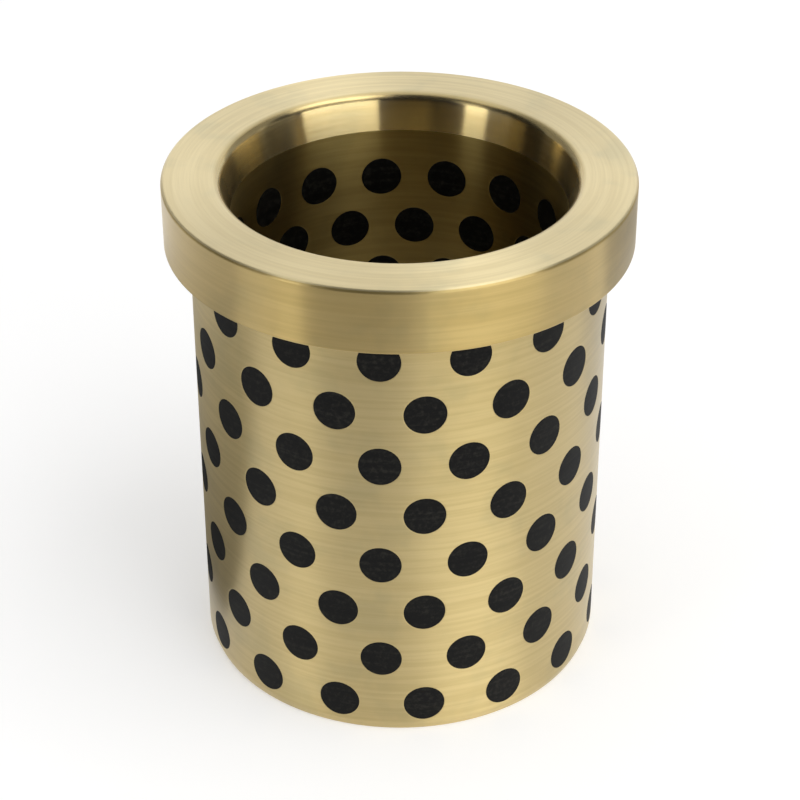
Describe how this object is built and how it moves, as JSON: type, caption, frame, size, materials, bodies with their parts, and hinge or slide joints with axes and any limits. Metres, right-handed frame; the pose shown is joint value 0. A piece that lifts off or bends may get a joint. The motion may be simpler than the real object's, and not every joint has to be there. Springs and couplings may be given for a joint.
{
  "type": "graphite plugged bushing",
  "caption": "Flanged bronze guide bush with a plain bore and graphite plugs set flush through its wall in staggered rings, so that a shaft slides or turns in it without oil.",
  "frame": {"origin": "centre of the bore, in the plane of the flange's seating face", "axes": "+Z along the bore's axis, from the plain end towards the flange's outer face; +X and +Y are free, as the bush is round"},
  "size_m": [0.056, 0.056, 0.064],
  "materials": {
    "bronze": "satin",
    "graphite": "matte"
  },
  "bodies": {
    "root": {"bush_body": "bronze", "plug_column_01": "graphite", "plug_column_02": "graphite", "plug_column_03": "graphite", "plug_column_04": "graphite", "plug_column_05": "graphite", "plug_column_06": "graphite", "plug_column_07": "graphite", "plug_column_08": "graphite", "plug_column_09": "graphite", "plug_column_10": "graphite", "plug_column_11": "graphite", "plug_column_12": "graphite", "plug_column_13": "graphite", "plug_column_14": "graphite", "plug_column_15": "graphite", "plug_column_16": "graphite", "plug_column_17": "graphite", "plug_column_18": "graphite", "plug_column_19": "graphite", "plug_column_20": "graphite", "plug_column_21": "graphite", "plug_column_22": "graphite", "plug_column_23": "graphite", "plug_column_24": "graphite", "plug_column_25": "graphite", "plug_column_26": "graphite", "plug_column_27": "graphite", "plug_column_28": "graphite", "plug_column_29": "graphite", "plug_column_30": "graphite"}
  },
  "joints": []
}
